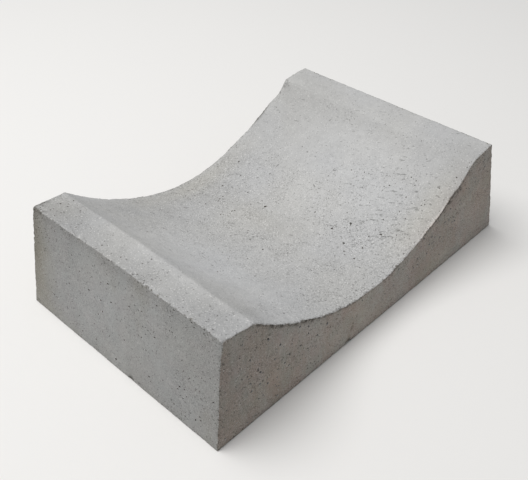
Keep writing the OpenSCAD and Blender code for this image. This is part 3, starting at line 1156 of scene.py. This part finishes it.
    # Float marks: short dark scratches that run slantwise where the top is rough.
    streak = cloud(300, 3, 0.55, (0.2, 0.9, 0), (5.5, 1.0, 1.0), -63.0)
    streak = maths(t, "ADD", streak, times(scratch, 0.09))
    broken = ramp(t, cloud(190, 2, 0.5, (4, 4, 0)), [(0.44, 0.0), (0.58, 1.0)])
    streak = times(ramp(t, streak, [(0.655, 0.0), (0.69, 1.0)]), broken, up)
    colour = mixed(t, "MULTIPLY", streak, colour, (0.6, 0.6, 0.595))

    # Air holes hold dirt and shade, chips show the rougher inside, and arrises are grimy in places.
    colour = mixed(t, "MULTIPLY", pit, colour, (0.28, 0.27, 0.25))
    inside = cloud(420, 3, 0.7, (9, 1, 2))
    colour = mixed(t, "MULTIPLY", chip, colour, ramp(t, inside, [(0.36, (0.34, 0.325, 0.30)), (0.64, (0.86, 0.84, 0.80))]))
    # The dirt mark: crumbs and dirt, with painted shade under the arrises and in the notches.
    colour = mixed(t, "MULTIPLY", mark("dirt"), colour, (0.27, 0.26, 0.24))
    grime = times(arris, side, ramp(t, cloud(70, 3, 0.6, (2, 8, 5)), [(0.4, 0.2), (0.62, 1.0)]))
    colour = mixed(t, "MULTIPLY", grime, colour, (0.84, 0.83, 0.81))
    t.links.new(colour, bsdf.inputs["Base Color"])

    rough = ramp(t, cloud(240, 4, 0.6, (6, 3, 1)), [(0.3, 0.80), (0.7, 0.95)])
    t.links.new(rough, bsdf.inputs["Roughness"])
    bsdf.inputs["Specular IOR Level"].default_value = 0.32

    # Relief too fine for the mesh.
    bump = node(t, "ShaderNodeBump", inputs={"Strength": 0.5, "Distance": 0.0006, "Height": mottle})
    bump = node(t, "ShaderNodeBump", inputs={"Strength": 0.7, "Distance": 0.00035, "Height": sand, "Normal": bump.outputs[0]})
    bump = node(t, "ShaderNodeBump", inputs={"Strength": 0.6, "Distance": 0.00012, "Height": grain, "Normal": bump.outputs[0]})
    holes = maths(t, "SUBTRACT", 1.0, maths(t, "MAXIMUM", coarse, fine))
    bump = node(t, "ShaderNodeBump", inputs={"Strength": 0.7, "Distance": 0.0005, "Height": holes, "Normal": bump.outputs[0]})
    t.links.new(bump.outputs[0], bsdf.inputs["Normal"])
    return mat


mesh.materials.append(concrete())
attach(block, "root")
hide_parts(NODE)

# ---------------------------------------------------------------- floor, light and camera
floor_mesh = bpy.data.meshes.new("floor")
ring = [(14 * math.cos(a), 14 * math.sin(a), -0.0003) for a in np.linspace(0, 2 * math.pi, 97)[:-1]]
floor_mesh.from_pydata(ring, [], [tuple(range(96))])
floor_mat, ft, fb = new_material("pale_floor")
fb.inputs["Base Color"].default_value = (0.80, 0.79, 0.775, 1)
fb.inputs["Roughness"].default_value = 0.9
fb.inputs["Specular IOR Level"].default_value = 0.1
floor_mesh.materials.append(floor_mat)
floor = bpy.data.objects.new("floor", floor_mesh)
bpy.context.scene.collection.objects.link(floor)

world = bpy.data.worlds.new("studio")
world.use_nodes = True
bpy.context.scene.world = world
world.node_tree.nodes["Background"].inputs["Color"].default_value = (0.955, 0.975, 1.0, 1)
world.node_tree.nodes["Background"].inputs["Strength"].default_value = 0.335


def area(name, place, aim, size, power, colour):
    light = bpy.data.lights.new(name, "AREA")
    light.shape = "DISK"
    light.size = size
    light.energy = power
    light.color = colour
    o = bpy.data.objects.new(name, light)
    o.location = place
    o.rotation_mode = "QUATERNION"
    o.rotation_quaternion = (Vector(aim) - Vector(place)).to_track_quat("-Z", "Y")
    bpy.context.scene.collection.objects.link(o)
    return o


area("key", (-0.85, 0.85, 3.5), (0, 0, 0.05), 3.2, 127, (1.0, 0.993, 0.982))

camera = bpy.data.cameras.new("camera")
camera.sensor_width = 36
camera.sensor_fit = "HORIZONTAL"
camera.lens = 786.4039 * 36 / 528
camera.clip_start, camera.clip_end = 0.05, 60
az, el, roll = math.radians(45.0587), math.radians(38.7419), math.radians(1.3317)
fwd = Vector((math.sin(az) * math.cos(el), math.cos(az) * math.cos(el), -math.sin(el)))
right = Vector((math.cos(az), -math.sin(az), 0))
down = fwd.cross(right)
c, s = math.cos(roll), math.sin(roll)
r2, d2 = c * right + s * down, -s * right + c * down
m = Matrix.Identity(4)
for i in range(3):
    m[i][0], m[i][1], m[i][2] = r2[i], -d2[i], -fwd[i]
m.translation = Vector((-0.66031, -0.63851, 0.77782))
cam = bpy.data.objects.new("camera", camera)
cam.matrix_world = m
bpy.context.scene.collection.objects.link(cam)
bpy.context.scene.camera = cam
bpy.context.scene.view_settings.view_transform = "Standard"
